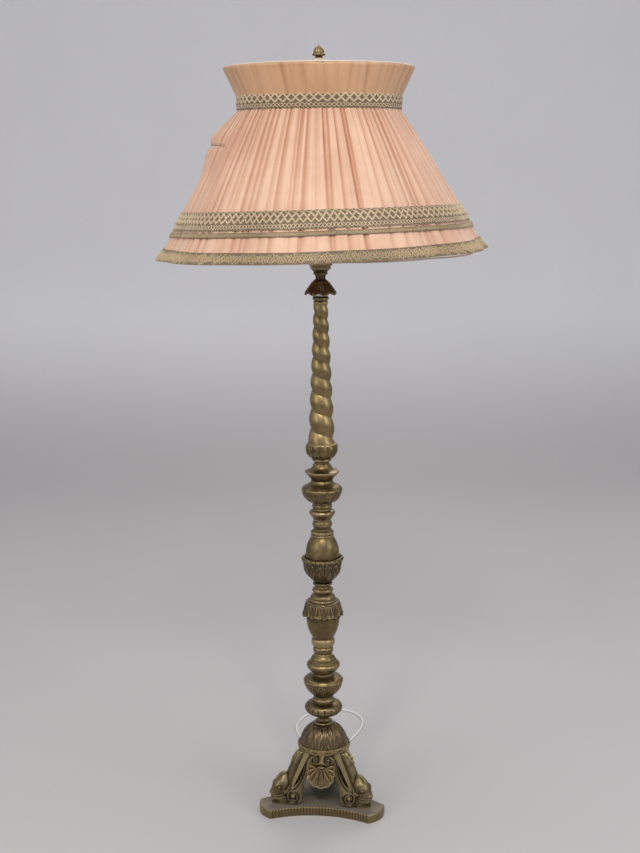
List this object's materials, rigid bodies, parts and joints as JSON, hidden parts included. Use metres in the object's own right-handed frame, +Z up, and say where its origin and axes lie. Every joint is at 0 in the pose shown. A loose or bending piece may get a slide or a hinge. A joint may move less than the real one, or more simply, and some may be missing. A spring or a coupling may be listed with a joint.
{
  "type": "candlestick floor lamp",
  "caption": "Tall cast-metal candlestick floor lamp: scrolled tripod foot, turned and fluted stem with a twisted column, lampholders with pull switches, and a flared gathered cloth shade.",
  "frame": {"origin": "on the floor, on the stem's axis", "axes": "+Z up; the foot is three-cornered and one of its hollow sides faces -Y; the lamp arms lie along X"},
  "size_m": [0.6982, 0.8722, 1.7043],
  "materials": {
    "patinated_brass": "aged, olive-brown in the hollows and rubbed bright on the edges",
    "dark_patina": "aged, darker",
    "bright_brass": "satin",
    "threaded_steel": "plain",
    "shade_wire": "wire bound with cotton tape",
    "peach_silk": "gathered silk, soft sheen",
    "gold_braid": "woven metal thread, dulled",
    "pearl_glass": "pearl",
    "dark_bushing": "matte",
    "white_cord": "smooth",
    "white_plug": "smooth"
  },
  "bodies": {
    "stand": {"base_plate": "patinated_brass", "scroll_leg_1": "patinated_brass", "scroll_leg_2": "patinated_brass", "scroll_leg_3": "patinated_brass", "shell_1": "patinated_brass", "shell_2": "patinated_brass", "shell_3": "patinated_brass", "leg_band": "dark_patina", "leaf_dome": "patinated_brass", "neck_spool": "patinated_brass", "fluted_disc": "patinated_brass", "low_vase": "patinated_brass", "lower_saucer": "patinated_brass", "ball_reel": "patinated_brass", "tapered_vase": "patinated_brass", "leaf_skirt": "patinated_brass", "stepped_collar": "patinated_brass", "leaf_bowl": "dark_patina", "egg": "patinated_brass", "upper_reel": "patinated_brass", "flared_ring": "patinated_brass", "fluted_cup": "patinated_brass", "upper_saucer": "patinated_brass", "column_seat": "patinated_brass", "twisted_column": "patinated_brass", "column_rings": "patinated_brass", "drip_pan": "patinated_brass", "upper_neck": "patinated_brass", "candle_cup": "patinated_brass", "cluster_body": "patinated_brass", "lamp_arms": "patinated_brass", "holder_caps": "bright_brass", "holder_shells": "bright_brass", "riser_tube": "patinated_brass", "shade_nut": "patinated_brass", "stem_tube": "threaded_steel", "base_nut": "threaded_steel", "cord_bushing": "dark_bushing", "inner_flex": "white_cord", "bulb_left": "pearl_glass", "bulb_right": "pearl_glass", "cord_run": "white_cord", "cord_coil": "white_cord", "plug": "white_plug"},
    "shade": {"shade_spider": "shade_wire", "waist_ring": "shade_wire", "shade_ribs": "shade_wire", "hem_ring": "shade_wire", "silk_skirt": "peach_silk", "silk_collar": "peach_silk", "waist_braid": "gold_braid", "wide_braid": "gold_braid", "narrow_braid": "gold_braid", "hem_gimp": "gold_braid"},
    "finial": {"finial": "patinated_brass"},
    "pull_left": {"pull_left": "bright_brass"},
    "pull_right": {"pull_right": "bright_brass"}
  },
  "joints": [
    {"name": "shade_turn", "type": "hinge", "parent": "stand", "child": "shade", "pos_m": [0, 0, 1.672], "axis": [0, 0, 1], "continuous": true},
    {"name": "finial_turn", "type": "hinge", "parent": "stand", "child": "finial", "pos_m": [0, 0, 1.685], "axis": [0, 0, 1], "continuous": true},
    {"name": "pull_left_slide", "type": "slide", "parent": "stand", "child": "pull_left", "axis": [0, 0, -1], "range_m": [0, 0.01], "stiffness_N_per_m": 300, "springref_m": -0.005},
    {"name": "pull_right_slide", "type": "slide", "parent": "stand", "child": "pull_right", "axis": [0, 0, -1], "range_m": [0, 0.01], "stiffness_N_per_m": 300, "springref_m": -0.005}
  ]
}
